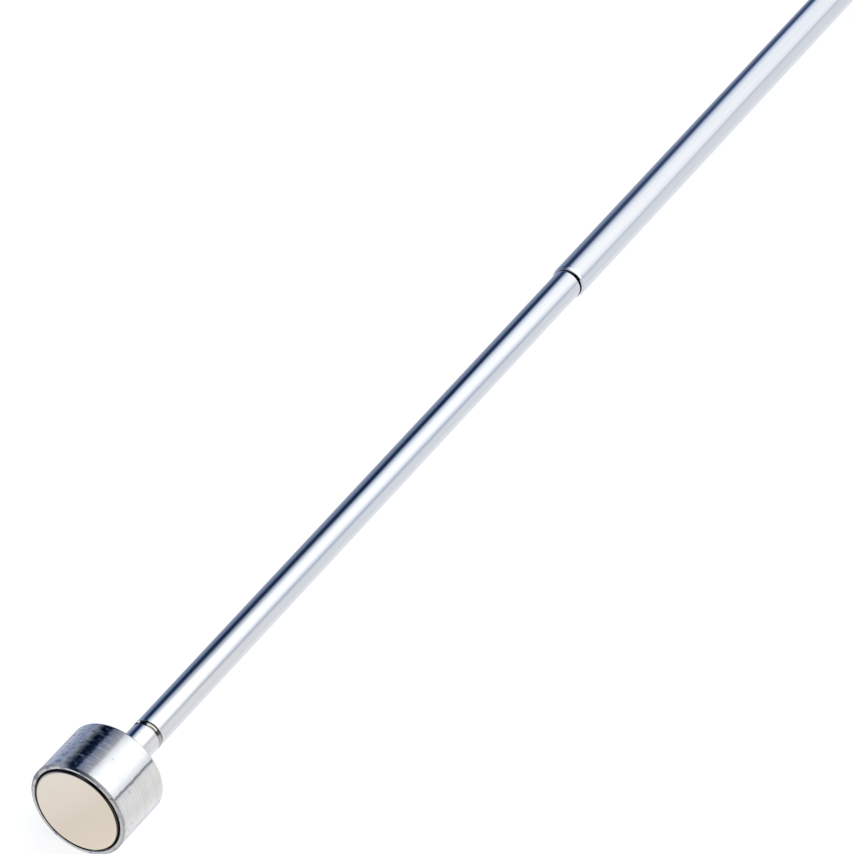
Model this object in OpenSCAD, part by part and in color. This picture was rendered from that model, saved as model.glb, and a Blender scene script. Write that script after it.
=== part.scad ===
// Telescoping magnetic pick-up tool.
// Frame: origin at the centre of the magnet's working face, +X along the shaft
// towards the handle, +Z up. Millimetres. The two front tubes are pulled out,
// the two rear tubes are parked inside the body tube.

/* [Magnet head] */
// Outside diameter of the steel cup
head_d = 19; // [17:0.5:22]
// Length of the steel cup along the shaft
cup_length = 12.5; // [11:0.5:15]
// Wall of the cup around the magnet
cup_wall = 0.85; // [0.7:0.05:1.2]
// Width of the resin ring between the magnet and the cup
ring_w = 0.25; // [0.15:0.05:0.6]
// How far the magnet stands proud of the cup's rim
magnet_proud = 0.2; // [0:0.05:0.4]
// Thickness of the magnet disc
magnet_thickness = 8.2; // [4:0.1:8.5]
// Chamfer on the rim of the cup
rim_chamfer = 0.3; // [0.1:0.05:0.4]

/* [Neck] */
// Length of bare neck between the cup and the bead
neck_length = 9; // [6:0.5:14]
// Width of the bead between the neck and the first tube
bead_w = 1.0; // [0.8:0.1:1.4]
// Depth of the neck pin inside the first tube
neck_plug = 10; // [6:1:14]

/* [Tubes] */
// Outside diameter of the thinnest tube
tube_d = 5.9; // [5.5:0.1:6.5]
// Wall of every tube
wall = 0.27; // [0.22:0.01:0.3]
// Step in radius from each tube to the next one out
step_r = 0.45; // [0.43:0.01:0.5]
// Exposed length of the first tube, from the bead to the next tube's lip
exposed_1 = 147.7; // [120:0.1:160]
// Bare length left when a tube is pushed fully in
left_out = 3; // [2:0.5:5]
// Length of a tube's rolled-in nose
nose_length = 1.3; // [1.0:0.1:1.6]

/* [Friction sleeves] */
// Length of the groove that holds a split sleeve
groove_length = 6; // [5:0.5:8]
// Width of the slit in a split sleeve
slit_w = 0.8; // [0.5:0.1:1.2]
// Depth of an end plug inside its tube
plug_depth = 4; // [3:0.5:5]

/* [Handle] */
// Largest diameter of the rubber grip
grip_d = 19; // [17:0.5:22]
// Length of the rubber grip
grip_length = 102; // [90:1:110]
// Number of finger swells on the grip
swells = 5; // [3:1:6]
// Diameter of the hanging hole in the end cap
hang_d = 4.5; // [3.5:0.5:5]
// Thickness of the hanging eye
eye_t = 7; // [6:0.5:9]

/* [Hidden] */
$fn = 96;
run_fit = 0.08;     // radial clearance of a tube in the next tube's nose
sleeve_fit = 0.03;  // radial clearance of a sleeve in the next tube's bore
turn_fit = 0.05;    // radial clearance of a plug in its sleeve
press = 0.01;       // radial interference of a pressed-in part

brass = [0.80, 0.66, 0.36];
bronze = [0.72, 0.50, 0.28];
tube_chrome = [0.88, 0.89, 0.92];
black_plastic = [0.12, 0.12, 0.13];

// Radii of a tube: 1 = thinnest, 5 = body tube
function r_out(tube) = tube_d / 2 + (tube - 1) * step_r;
function r_in(tube) = r_out(tube) - wall;
function r_nose(tube) = r_out(tube - 1) + run_fit;

// Head and neck stations along the shaft
rim_x = magnet_proud;
cup_back = rim_x + cup_length;
bead_x = cup_back + neck_length;
tube_x = bead_x + bead_w;

// Tube stations: lip = front of a tube, end = its rear
flange_t = 1.0;
tail = groove_length + flange_t;  // end plug behind its tube
stop = nose_length + 0.7;         // pulled-out tube's end behind the next lip
plug_gap = 2;                     // between neighbouring plugs, tube pushed in
body_plug_depth = 6;              // body plug inside the body tube

// End of the next tube out, long enough to take this one in by its travel
function next_end(end, travel) = end + tail + travel + plug_depth + plug_gap;

lip_2 = tube_x + exposed_1;
end_1 = lip_2 + stop;
end_2 = next_end(end_1, exposed_1 - left_out);
lip_3 = end_2 - stop;
end_3 = next_end(end_2, lip_3 - lip_2 - left_out);
lip_4 = lip_3 + left_out;
end_4 = next_end(end_3, 0);
lip_5 = lip_4 + left_out;
end_5 = end_4 + tail + body_plug_depth + plug_gap;

// Handle stations and radii
collar_length = 10;
cap_overlap = 7.4;        // end cap in front of the body tube's end
cap_dome = 3.6;           // length of the cap's rounded shoulder
cap_x = end_5 - cap_overlap;
grip_x = cap_x - grip_length;
collar_x = grip_x - collar_length;
plug_back = end_5 + 1.4;  // rear of the body plug and the grip core
cap_floor = plug_back + 0.2;
cap_shoulder = cap_floor + cap_dome;
body_fit_r = r_out(5) - press;
core_r = r_out(5) + 1.75;
grip_r = grip_d / 2;
cap_r = grip_r - 0.2;
pin_x = end_5 - body_plug_depth / 2;
pin_r = 1.0;

// A turned shape about the shaft: each point is [radius, station].
module turned(points) {
    rotate([0, 90, 0]) rotate_extrude() polygon(points);
}

// Points of an elliptical arc about [centre_r, centre_x] with half axes half_r
// and half_x. Angles in degrees: 0 points outwards, 90 to the rear.
function arc(centre_r, centre_x, half_r, half_x, from, to, steps) =
    [for (i = [0:steps]) let (angle = from + (to - from) * i / steps)
        [centre_r + half_r * cos(angle), centre_x + half_x * sin(angle)]];

// ---- magnet head -------------------------------------------------------

cup_bore_r = head_d / 2 - cup_wall;
magnet_r = cup_bore_r - ring_w;
seat_x = magnet_thickness + 0.5;  // cup floor, behind the resin
rivet_r = 2.0;
rivet_head_r = 3.2;
rivet_taper = 1.2;                // length of the rivet head's cone

module magnet_cup() {
    outer = head_d / 2;
    bore_break = 0.1;
    back_round = 0.4;
    color([0.80, 0.81, 0.83]) turned(concat(
        [[cup_bore_r, rim_x + bore_break], [cup_bore_r + bore_break, rim_x],
         [outer - rim_chamfer, rim_x], [outer, rim_x + rim_chamfer]],
        arc(outer - back_round, cup_back - back_round, back_round, back_round, 0, 90, 4),
        [[rivet_r, cup_back], [rivet_r, seat_x + rivet_taper],
         [rivet_head_r, seat_x], [cup_bore_r, seat_x]]));
}

module magnet() {
    edge = 0.3;
    color([0.86, 0.82, 0.77]) turned(concat(
        [[0, magnet_thickness], [0, 0]],
        arc(magnet_r - edge, edge, edge, edge, -90, 0, 4),
        [[magnet_r, magnet_thickness]]));
}

// Resin that fills the ring around the magnet and the seat behind it.
// Its front face lies behind the rim and slopes slightly.
module magnet_bond() {
    color([0.10, 0.09, 0.08]) turned([
        [magnet_r, rim_x + 0.55], [cup_bore_r, rim_x + 0.45], [cup_bore_r, seat_x],
        [0, seat_x], [0, magnet_thickness], [magnet_r, magnet_thickness]]);
}

// Neck: riveted into the cup in front, pressed into the first tube behind.
module neck_pin() {
    neck_r = tube_d / 2 - 0.02;
    root_r = neck_r - 0.16;   // on both sides of the bead
    crest_r = tube_d / 2 + 0.02;
    bead_round = 0.30;
    plug_r = r_in(1) + press;
    plug_end = tube_x + neck_plug;
    color([0.80, 0.77, 0.74]) turned(concat(
        [[0, seat_x], [rivet_head_r, seat_x], [rivet_r, seat_x + rivet_taper],
         [rivet_r, cup_back], [neck_r, cup_back],
         [neck_r, bead_x - 0.12], [root_r, bead_x]],
        arc(crest_r - bead_round, bead_x + bead_w / 2,
            bead_round, bead_w / 2 - 0.03, -70, 70, 8),
        [[root_r, tube_x - 0.02], [root_r, tube_x], [plug_r, tube_x],
         [plug_r, plug_end - 0.6], [r_in(1) - 0.5, plug_end], [0, plug_end]]));
}

// ---- sliding tubes -----------------------------------------------------

tube_break = 0.08;                // broken edge at a tube's rear end

// First tube: plain ends with broken edges.
module tube_1() {
    outer = r_out(1);
    color(tube_chrome) turned([
        [r_in(1), tube_x], [outer - 0.13, tube_x],
        [outer - 0.04, tube_x + 0.05], [outer, tube_x + 0.16],
        [outer, end_1 - tube_break], [outer - tube_break, end_1], [r_in(1), end_1]]);
}

// Tube with its lip rolled in so that the sleeve inside can't pass it.
module nosed_tube(tube, lip, end) {
    outer = r_out(tube);
    bore = r_in(tube);
    nose_r = r_nose(tube);
    lip_r = nose_r + 0.05;
    lip_round = 0.30;
    roll_r = outer - 0.14;
    nose_end = lip + nose_length;
    turned(concat(
        [[nose_r, lip + 0.06], [lip_r, lip]],
        arc(lip_r, lip + lip_round, roll_r - lip_r, lip_round, -72, 0, 4),
        [[outer - 0.05, nose_end - 0.45], [outer - 0.015, nose_end - 0.2],
         [outer, nose_end], [outer, end - tube_break], [outer - tube_break, end],
         [bore, end], [bore, nose_end + 0.45], [nose_r, nose_end + 0.2]]));
}

module tube_2() { color(tube_chrome) nosed_tube(2, lip_2, end_2); }
module tube_3() { color(tube_chrome) nosed_tube(3, lip_3, end_3); }
module tube_4() { color(tube_chrome) nosed_tube(4, lip_4, end_4); }

// Inner radius of the sleeve behind a tube
function sleeve_in(tube) = r_out(tube) - 0.15;

// Hollow plug in the rear end of a tube. Its groove carries the split sleeve.
module plug(tube, end) {
    front = end - plug_depth;
    lead = 0.4;                   // length of the tapered front edge
    press_r = r_in(tube) + press;
    groove_r = sleeve_in(tube) - turn_fit;
    groove_x = end + 0.01;
    flange_r = r_out(tube) + 0.08;
    flange_chamfer = 0.2;
    bore = r_out(tube) - 1.25;
    turned([
        [bore, front], [r_in(tube) - 0.15, front],
        [press_r, front + lead], [press_r, groove_x],
        [groove_r, groove_x], [groove_r, end + groove_length],
        [flange_r, end + groove_length], [flange_r, end + tail - flange_chamfer],
        [flange_r - flange_chamfer, end + tail], [bore, end + tail]]);
}

module end_plug_1() { color(brass) plug(1, end_1); }
module end_plug_2() { color(brass) plug(2, end_2); }
module end_plug_3() { color(brass) plug(3, end_3); }
module end_plug_4() { color(brass) plug(4, end_4); }

// Split spring sleeve on a tube's plug, slit on its +Z side.
// It rubs in the next tube's bore.
module sleeve(tube, end) {
    outer = r_in(tube + 1) - sleeve_fit;
    inner = sleeve_in(tube);
    groove_end = end + groove_length;
    end_gap = 0.12;               // from the sleeve to each end of the groove
    taper_end = 0.5;              // from each groove end to the full radius
    edge_drop = 0.1;
    difference() {
        turned([
            [inner, end + end_gap], [outer - edge_drop, end + end_gap],
            [outer, end + taper_end], [outer, groove_end - taper_end],
            [outer - edge_drop, groove_end - end_gap], [inner, groove_end - end_gap]]);
        translate([end - 1, -slit_w / 2, 0])
            cube([groove_length + 2, slit_w, outer + 1]);
    }
}

module friction_sleeve_1() { color(bronze) sleeve(1, end_1); }
module friction_sleeve_2() { color(bronze) sleeve(2, end_2); }
module friction_sleeve_3() { color(bronze) sleeve(3, end_3); }
module friction_sleeve_4() { color(bronze) sleeve(4, end_4); }

// ---- handle ------------------------------------------------------------

// Vertical hole for the end cap's pin
module pin_hole() {
    translate([pin_x, 0, -grip_d]) cylinder(r = pin_r, h = 2 * grip_d, $fn = 48);
}

module body_tube() {
    color(tube_chrome) difference() {
        nosed_tube(5, lip_5, end_5);
        pin_hole();
    }
}

module body_plug() {
    front = end_5 - body_plug_depth;
    lead = 0.4;
    press_r = r_in(5) + press;
    color(brass) difference() {
        turned([[0, front], [r_in(5) - lead, front], [press_r, front + lead],
                [press_r, end_5], [r_out(5), end_5], [r_out(5), plug_back],
                [0, plug_back]]);
        pin_hole();
    }
}

// Chromed ferrule that closes the front of the grip: a narrow ring, then an
// S-shaped flare.
module front_collar() {
    ring_r = body_fit_r + 1.05;
    chamfer = 0.35;
    flare_r = body_fit_r + 1.5;
    flare_x = collar_x + 2.6;
    flare_rise = 2.65;
    flare_length = 6.0;
    rear_r = flare_r + flare_rise;
    steps = 8;
    color([0.86, 0.87, 0.90]) turned(concat(
        [[body_fit_r, collar_x], [ring_r - chamfer, collar_x],
         [ring_r, collar_x + chamfer], [ring_r, flare_x - 0.4], [flare_r, flare_x]],
        [for (i = [0:steps]) let (u = i / steps)
            [flare_r + flare_rise * (3 * u * u - 2 * u * u * u), flare_x + flare_length * u]],
        [[rear_r, grip_x - 0.3], [rear_r - 0.25, grip_x], [body_fit_r, grip_x]]));
}

// Moulded sleeve that joins the grip to the body tube.
module grip_core() {
    color(black_plastic) difference() {
        turned([[body_fit_r, grip_x], [core_r, grip_x], [core_r, plug_back - 0.8],
                [core_r - 0.5, plug_back], [r_out(5) + 0.1, plug_back],
                [body_fit_r, end_5]]);
        pin_hole();
    }
}

// Finger swells: the grip's radius at a share u of its length.
grip_band = 0.06;     // share of the length in each plain end band
valley_depth = 1.35;
band_rise = 1.25;     // end bands above the valleys
swell_share = 0.92;   // swell height over band_rise
swell_power = 0.8;    // below 1 makes the swells fuller

function swell_r(u) = grip_r - valley_depth + band_rise
    * (u < grip_band || u > 1 - grip_band ? 1
       : swell_share
         * pow(abs(sin(180 * swells * (u - grip_band) / (1 - 2 * grip_band))), swell_power));

module rubber_grip() {
    steps = 110;
    end_steps = 4;    // steps left to the rounded edge at each end
    edge = 1.0;
    edge_mid = 0.25;  // inset of the point between the edge's two chamfers
    color([0.09, 0.09, 0.10]) turned(concat(
        [[core_r, grip_x], [grip_r - edge, grip_x],
         [grip_r - edge_mid, grip_x + edge_mid], [grip_r, grip_x + edge]],
        [for (i = [end_steps:steps - end_steps])
            [swell_r(i / steps), grip_x + grip_length * i / steps]],
        [[grip_r, cap_x - edge], [grip_r - edge_mid, cap_x - edge_mid],
         [grip_r - edge, cap_x], [core_r, cap_x]]));
}

// End cap with a flat eye, drilled across along Y for hanging.
module end_cap() {
    bore = core_r - press;
    chamfer = 0.3;
    dome_r = 4.2;
    eye_x = cap_shoulder + 7.5;
    eye_r = 6.2;
    eye_root = cap_floor + 1;
    color(black_plastic) difference() {
        union() {
            turned(concat(
                [[bore, cap_x], [cap_r - chamfer, cap_x], [cap_r, cap_x + chamfer],
                 [cap_r, cap_floor]],
                arc(cap_r - dome_r, cap_floor, dome_r, cap_dome, 0, 90, 10),
                [[0, cap_shoulder], [0, cap_floor], [bore, cap_floor]]));
            rotate([90, 0, 0]) translate([0, 0, -eye_t / 2]) linear_extrude(eye_t)
                union() {
                    translate([eye_x, 0]) circle(r = eye_r);
                    translate([eye_root, -eye_r]) square([eye_x - eye_root, 2 * eye_r]);
                }
        }
        translate([eye_x, eye_t, 0]) rotate([90, 0, 0]) cylinder(d = hang_d, h = 2 * eye_t);
        pin_hole();
    }
}

// Spring pin that locks cap, core, body tube and plug together.
module end_cap_pin() {
    half = cap_r - 0.35;
    chamfer = 0.25;
    color([0.62, 0.63, 0.66]) translate([pin_x, 0, 0]) rotate([0, 90, 0])
        turned([[0, -half], [pin_r - chamfer, -half], [pin_r, -half + chamfer],
                [pin_r, half - chamfer], [pin_r - chamfer, half], [0, half]]);
}

magnet_cup();
magnet();
magnet_bond();
neck_pin();
tube_1();
end_plug_1();
friction_sleeve_1();
tube_2();
end_plug_2();
friction_sleeve_2();
tube_3();
end_plug_3();
friction_sleeve_3();
tube_4();
end_plug_4();
friction_sleeve_4();
body_tube();
body_plug();
front_collar();
grip_core();
rubber_grip();
end_cap();
end_cap_pin();
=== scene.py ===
"""A telescopic magnetic pick-up tool, drawn out and lying along the X axis.

The magnet head is at the front (low X). Behind it come four sliding tubes, the body tube and
the handle with its rubber grip and end cap. +Z is up, and the near side, towards the camera,
is -Y. Angles round the shaft are in degrees from straight up towards the near side. Pieces
are measured in millimetres; shader nodes, the floor and the world are in metres.
"""
import math
from collections import namedtuple

import bmesh
import bpy
from mathutils import Matrix, Vector, noise


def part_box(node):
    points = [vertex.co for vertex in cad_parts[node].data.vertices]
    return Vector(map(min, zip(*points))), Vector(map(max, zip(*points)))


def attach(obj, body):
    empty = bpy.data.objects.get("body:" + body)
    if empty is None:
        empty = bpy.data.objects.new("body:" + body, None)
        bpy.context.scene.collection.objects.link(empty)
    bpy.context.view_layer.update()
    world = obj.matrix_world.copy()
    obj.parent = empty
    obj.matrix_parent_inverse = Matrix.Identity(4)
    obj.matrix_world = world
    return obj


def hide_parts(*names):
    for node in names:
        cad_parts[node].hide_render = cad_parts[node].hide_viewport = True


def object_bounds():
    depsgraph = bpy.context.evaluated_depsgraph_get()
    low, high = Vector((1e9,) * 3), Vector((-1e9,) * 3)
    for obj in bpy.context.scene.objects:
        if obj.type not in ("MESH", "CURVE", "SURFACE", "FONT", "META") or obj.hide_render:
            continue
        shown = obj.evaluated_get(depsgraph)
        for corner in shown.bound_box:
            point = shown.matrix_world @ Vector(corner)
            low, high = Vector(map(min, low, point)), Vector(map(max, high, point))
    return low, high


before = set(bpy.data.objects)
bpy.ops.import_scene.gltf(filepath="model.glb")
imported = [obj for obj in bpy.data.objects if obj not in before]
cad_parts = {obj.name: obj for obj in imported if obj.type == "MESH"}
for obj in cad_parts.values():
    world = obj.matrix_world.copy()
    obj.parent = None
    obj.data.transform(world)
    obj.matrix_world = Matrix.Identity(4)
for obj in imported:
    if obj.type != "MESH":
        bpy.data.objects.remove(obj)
cad_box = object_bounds()
MM = 0.001  # metres in a millimetre

Span = namedtuple("Span", "front rear radius")


def span(node):
    """Front and rear stations of a CAD node along the shaft, and its largest radius."""
    low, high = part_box(node)
    return Span(low.x / MM, high.x / MM, max(high.y, high.z) / MM)


cup = span("magnet_cup")
magnet = span("magnet")
bond = span("magnet_bond")
neck = span("neck_pin")
tube_1 = span("tube_1")
collar = span("front_collar")
grip = span("rubber_grip")
cap = span("end_cap")
core_radius = span("grip_core").radius

BEAD_WIDTH = 1.0  # the rolled bead on the neck, just in front of tube 1
bead_front = tube_1.front - BEAD_WIDTH

# The direction from the tool towards the camera.
TO_CAMERA = Vector((-0.6682, -0.3929, 0.6315)).normalized()


# ------------------------------------------------------------------ meshes

LONG_RUN = 0.6              # straight runs longer than this get cuts near both ends
END_CUTS = (0.03, 0.12)     # distance of those cuts from the corner
CUT_CLEARANCE = 0.2         # no other cut comes closer to a corner than this


def rounded(corners, steps=5):
    """Fillets a closed outline. A corner is (radius, station), then its fillet if it has one."""
    outline = []
    for i, (radius, station, *fillet) in enumerate(corners):
        if not fillet:
            outline.append((radius, station))
            continue
        corner = Vector((radius, station))
        back = Vector(corners[i - 1][:2]) - corner
        ahead = Vector(corners[(i + 1) % len(corners)][:2]) - corner
        reach = 0.49 * min(back.length, ahead.length)
        back.normalize()
        ahead.normalize()
        half = back.angle(ahead) / 2
        cut = min(fillet[0] / math.tan(half), reach)
        start, end = corner + back * cut, corner + ahead * cut
        for k in range(steps + 1):
            # a conic close to the true arc
            t = k / steps
            w0, w1, w2 = (1 - t) ** 2, 2 * t * (1 - t) * math.sin(half), t * t
            point = (start * w0 + corner * w1 + end * w2) / (w0 + w1 + w2)
            outline.append((point.x, point.y))
    return outline


def subdivided(profile, longest):
    """Splits long straight runs, with short quads next to each corner."""
    points = []
    for i, start in enumerate(profile):
        points.append(start)
        if i == len(profile) - 1 and profile[0][0] == 0:
            break
        end = profile[(i + 1) % len(profile)]
        run = math.hypot(start[0] - end[0], start[1] - end[1])
        pieces = int(run // longest) + 1
        cuts = [j / pieces for j in range(1, pieces)]
        if run > LONG_RUN:
            ends = [cut / run for cut in END_CUTS]
            clear = CUT_CLEARANCE / run
            cuts = ends + [t for t in cuts if clear < t < 1 - clear] + [1 - t for t in ends[::-1]]
        for t in cuts:
            points.append((start[0] + (end[0] - start[0]) * t, start[1] + (end[1] - start[1]) * t))
    return points


def shade(bm, sharp):
    """Smooth faces, with edges that turn more than this many degrees kept sharp."""
    for face in bm.faces:
        face.smooth = True
    for edge in bm.edges:
        folded = len(edge.link_faces) == 2 and edge.calc_face_angle(0) > math.radians(sharp)
        edge.smooth = not folded


def mesh_object(name, bm):
    mesh = bpy.data.meshes.new(name)
    bm.to_mesh(mesh)
    bm.free()
    ob = bpy.data.objects.new(name, mesh)
    bpy.context.scene.collection.objects.link(ob)
    return ob


def bridge(bm, first, second):
    """Quads between two rings, or triangles where one ring is a single vertex."""
    count = max(len(first), len(second))
    for k in range(count):
        after = (k + 1) % count
        if len(first) == 1:
            bm.faces.new((first[0], second[after], second[k]))
        elif len(second) == 1:
            bm.faces.new((first[k], first[after], second[0]))
        else:
            bm.faces.new((first[k], first[after], second[after], second[k]))


def lathe(name, profile, segments, longest, shape=None, sharp=38):
    """A closed solid turned about X from (radius, station) points.

    The profile runs from the axis to the axis, or closes on itself. A shape function moves
    each (radius, station) by its angle in radians.
    """
    bm = bmesh.new()
    rings = []
    for radius, x in subdivided(profile, longest):
        if radius < 1e-6:
            rings.append([bm.verts.new((x * MM, 0, 0))])
            continue
        ring = []
        for k in range(segments):
            turn = 2 * math.pi * k / segments
            r, station = shape(radius, x, turn) if shape else (radius, x)
            ring.append(bm.verts.new(
                (station * MM, -r * math.sin(turn) * MM, r * math.cos(turn) * MM)))
        rings.append(ring)
    pairs = list(zip(rings, rings[1:]))
    if len(rings[0]) > 1:
        pairs.append((rings[-1], rings[0]))
    for first, second in pairs:
        bridge(bm, first, second)
    bmesh.ops.recalc_face_normals(bm, faces=bm.faces)
    shade(bm, sharp)
    return mesh_object(name, bm)


def put(ob, body, slot, material, *nodes):
    ob.data.materials.clear()
    ob.data.materials.append(material)
    if nodes:
        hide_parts(*nodes)
    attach(ob, body)


# ------------------------------------------------------------------- nodes

class Nodes:
    """Short ways to add nodes. A node's inputs are numbers, tuples or sockets."""

    def __init__(self, tree):
        self.tree = tree

    def feed(self, socket, value):
        if isinstance(value, bpy.types.NodeSocket):
            self.tree.links.new(value, socket)
        elif isinstance(value, tuple) and socket.type == "RGBA":
            socket.default_value = (*value, 1)
        else:
            socket.default_value = value

    def node(self, kind, inputs, **props):
        """Adds a node and returns its outputs."""
        added = self.tree.nodes.new(kind)
        for key, value in props.items():
            setattr(added, key, value)
        for key, value in inputs.items():
            self.feed(added.inputs[key], value)
        return added.outputs

    def math(self, operation, *values):
        return self.node("ShaderNodeMath", dict(enumerate(values)), operation=operation)[0]

    def times(self, first, second):
        return self.math("MULTIPLY", first, second)

    def vector(self, operation, inputs):
        return self.node("ShaderNodeVectorMath", inputs, operation=operation)

    def remap(self, value, over, to=(0, 1), kind="LINEAR"):
        """Maps the span `over` to the span `to`, clamped."""
        inputs = dict(enumerate((value, *over, *to)))
        return self.node("ShaderNodeMapRange", inputs, interpolation_type=kind)[0]

    def ramp(self, value, stops, kind="LINEAR"):
        """Stops are (position, grey or colour)."""
        added = self.tree.nodes.new("ShaderNodeValToRGB")
        added.color_ramp.interpolation = kind
        elements = added.color_ramp.elements
        while len(elements) < len(stops):
            elements.new(0.5)
        for element, (position, colour) in zip(elements, stops):
            element.position = position
            rgb = colour if isinstance(colour, tuple) else (colour,) * 3
            element.color = (*rgb, 1)
        self.feed(added.inputs[0], value)
        return added.outputs[0]

    def mix(self, factor, first, second, kind="MIX"):
        inputs = {"Factor": factor, 6: first, 7: second}
        return self.node("ShaderNodeMix", inputs, data_type="RGBA", blend_type=kind)[2]

    def xyz(self, vector):
        return self.node("ShaderNodeSeparateXYZ", {0: vector})

    def angle(self, pos):
        """Degrees round the shaft, from straight up towards the near side."""
        turn = self.math("ARCTAN2", self.times(pos["Y"], -1.0), pos["Z"])
        return self.times(turn, 180 / math.pi)

    def by_angle(self, angle, stops, limit=180):
        """A ramp over -limit to limit degrees. Stops are (degrees, grey or colour)."""
        stops = [((degrees + limit) / (2 * limit), colour) for degrees, colour in stops]
        return self.ramp(self.remap(angle, over=(-limit, limit)), stops)


class Material(Nodes):
    def __init__(self, name):
        self.material = bpy.data.materials.new(name)
        self.material.use_nodes = True
        super().__init__(self.material.node_tree)
        self.object = self.node("ShaderNodeTexCoord", {})["Object"]

    def noise(self, scale, detail=3.0, rough=0.55):
        """Noise on the object's coordinates, scaled along each axis."""
        place = self.node("ShaderNodeMapping", {"Vector": self.object, "Scale": scale})[0]
        return self.node("ShaderNodeTexNoise", {
            "Vector": place, "Scale": 1.0, "Detail": detail, "Roughness": rough})["Fac"]

    def radius(self, pos):
        squares = [self.math("POWER", pos[axis], 2.0) for axis in "YZ"]
        return self.math("SQRT", self.math("ADD", *squares))

    def bump(self, height, strength, distance, **normal):
        inputs = {"Strength": strength, "Distance": distance, "Height": height, **normal}
        return self.node("ShaderNodeBump", inputs)[0]

    def finish(self, inputs):
        """Sets the surface's inputs and returns the finished material."""
        surface = self.tree.nodes["Principled BSDF"]
        for key, value in inputs.items():
            self.feed(surface.inputs[key], value)
        return self.material


# --------------------------------------------------------------- materials

# Places the head's materials are tied to, in metres.
RIM_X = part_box("magnet_cup")[0].x
MAGNET_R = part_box("magnet")[1].z
CUP_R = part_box("magnet_cup")[1].z

# Painted reflection multiplied into the cup's colour, what its polish would show: (angle of the
# mirrored direction, grey or colour).
CARD_REFLECTIONS_PAINTED = [
    (-120, 1), (-100, 1), (-64, 1), (-56, 0.5), (-49, (0.05, 0.09, 0.19)),
    (-42, (0.03, 0.06, 0.13)), (-36, (0.008, 0.015, 0.042)), (-32, (0.07, 0.085, 0.125)),
    (-29, (0.205, 0.235, 0.31)), (-25.7, (0.255, 0.27, 0.34)), (-16, (0.275, 0.275, 0.31)),
    (-10, (0.295, 0.292, 0.305)), (-6, (0.315, 0.31, 0.32)), (-3, (0.44, 0.435, 0.45)),
    (1, (0.60, 0.60, 0.61)), (4.6, (0.69, 0.69, 0.70)), (8.2, (0.75, 0.75, 0.76)),
    (12, (0.79, 0.79, 0.80)), (20, 0.88), (32, 1), (50, (1, 0.985, 0.955)),
    (71.2, (1, 0.975, 0.93)), (74, (0.44, 0.45, 0.45)), (76.8, (0.44, 0.45, 0.45)),
    (79.2, (1.0, 0.985, 0.965))]
# Painted light added to it as a glow, in the same columns.
FILL_GLOW_PAINTED = [
    (-120, 0), (-112, 0.12), (-100, (0.07, 0.07, 0.075)), (-92, (0.05, 0.05, 0.055)),
    (-83, (0.04, 0.04, 0.045)), (-77, (0.13, 0.125, 0.125)), (-70, (0.20, 0.19, 0.185)),
    (-64, (0.14, 0.14, 0.135)), (-56, (0.045, 0.055, 0.06)), (-49, 0), (48, 0),
    (60, (0.05, 0.045, 0.03)), (70, (0.15, 0.14, 0.115)), (74, 0), (77, 0),
    (83, (0.105, 0.096, 0.07)), (120, (0.085, 0.078, 0.056))]

# Strength by angle of painted shade and painted dark reflections: (degrees, strength).
LIP_SHADE_ARC = [(-95, 0.0), (-60, 0.35), (-25, 0.7), (-8, 1.0), (12, 1.0), (17, 0.1), (60, 0.0)]
RECESS_SHADE_ARC = [(-75, 0.0), (-45, 0.25), (-15, 0.8), (10, 1.0), (75, 1.0), (100, 0.6),
            (125, 0.15), (150, 0.0)]
BEAD_DARK_REFLECTIONS = [
    (-150, 0.0), (-146, 0.5), (-139, 0.5), (-134, 0.0), (-72, 0.0), (-62, 0.97), (-22, 0.97),
    (-17, 0.9), (-6, 0.95), (4, 0.9), (10, 0.05), (44, 0.05), (49, 0.9), (60, 0.9),
    (67, 0.15), (110, 0.1), (124, 0.5), (130, 0.0)]


def chrome(name, tint=(0.90, 0.915, 0.94), rough=0.07, lines=1.0, lip=None, lip_shade_at=None):
    """Bright plated tube with faint drawing lines along the shaft.

    lip is the station of a rolled lip, which is duller; the last argument is the angle where
    painted shade darkens the widest part of its gap.
    """
    mat = Material(name)
    drawn = mat.noise(scale=(18, 2600, 2600), detail=4)
    cloud = mat.noise(scale=(60, 420, 420))
    clouded = tuple(v * f for v, f in zip(tint, (0.93, 0.94, 0.955)))
    colour = mat.mix(mat.remap(cloud, over=(0.35, 0.7), to=(0.0, 0.35)), tint, clouded)
    roughness = mat.remap(cloud, over=(0.3, 0.75), to=(rough * 0.8, rough * 1.6))
    if lip is not None:
        # painted shade in the widest part of the gap, on the lip's front face
        pos = mat.xyz(mat.object)
        arc = mat.by_angle(mat.angle(pos), [(lip_shade_at + a, v) for a, v in LIP_SHADE_ARC])
        front = mat.remap(pos["X"], over=((lip + 0.34) * MM, (lip + 0.22) * MM))
        colour = mat.mix(mat.times(arc, front), colour, (0.012, 0.014, 0.022))
        along_lip = mat.xyz(mat.object)["X"]
        dull = mat.remap(along_lip, over=((lip + 0.25) * MM, (lip + 1.0) * MM), to=(0.26, 0.0))
        roughness = mat.math("ADD", roughness, dull)
    return mat.finish({
        "Metallic": 1.0, "Base Color": colour, "Roughness": roughness,
        "Normal": mat.bump(drawn, strength=0.10 * lines, distance=0.00002)})


def recess_shade_side(mat, pos):
    """1 on the head's upper near side, where the painted shade round the magnet is widest."""
    return mat.by_angle(mat.angle(pos), RECESS_SHADE_ARC)


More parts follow.
